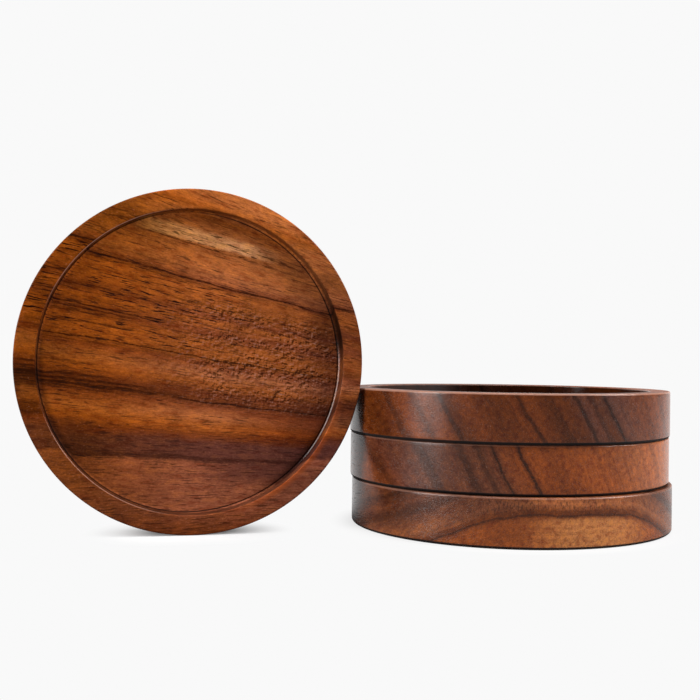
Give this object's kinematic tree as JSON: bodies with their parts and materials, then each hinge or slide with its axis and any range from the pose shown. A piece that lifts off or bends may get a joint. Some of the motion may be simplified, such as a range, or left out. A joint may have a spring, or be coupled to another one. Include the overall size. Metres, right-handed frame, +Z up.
{
  "type": "drink coaster set",
  "caption": "Turned walnut drink coasters, round with a raised rim around a shallow recess: a stack, and a coaster stood on its rim beside it.",
  "frame": {"origin": "middle of the underside of the bottom coaster, on the surface that the set stands on", "axes": "+Z up along the stack's axis, -Y towards the front, where the standing coaster's recess faces, and -X from the stack towards the standing coaster"},
  "size_m": [0.2051, 0.1036, 0.102],
  "materials": {
    "walnut_bottom": "oiled satin walnut, cathedral grain on the side",
    "walnut_middle": "oiled satin walnut, slanting dark stripes",
    "walnut_top": "oiled satin walnut, dark with slanting stripes",
    "walnut_standing": "oiled satin walnut, dark growth lines across the face"
  },
  "bodies": {
    "bottom": {"bottom_coaster": "walnut_bottom"},
    "middle": {"middle_coaster": "walnut_middle"},
    "top": {"top_coaster": "walnut_top"},
    "standing": {"standing_coaster": "walnut_standing"}
  },
  "joints": [
    {"name": "middle_lift", "type": "slide", "parent": "bottom", "child": "middle", "axis": [0, 0, 1], "range_m": [0, 0.1]},
    {"name": "top_lift", "type": "slide", "parent": "middle", "child": "top", "axis": [0, 0, 1], "range_m": [0, 0.1]},
    {"name": "standing_lift", "type": "slide", "parent": "bottom", "child": "standing", "axis": [0, 0, 1], "range_m": [0, 0.06]}
  ]
}
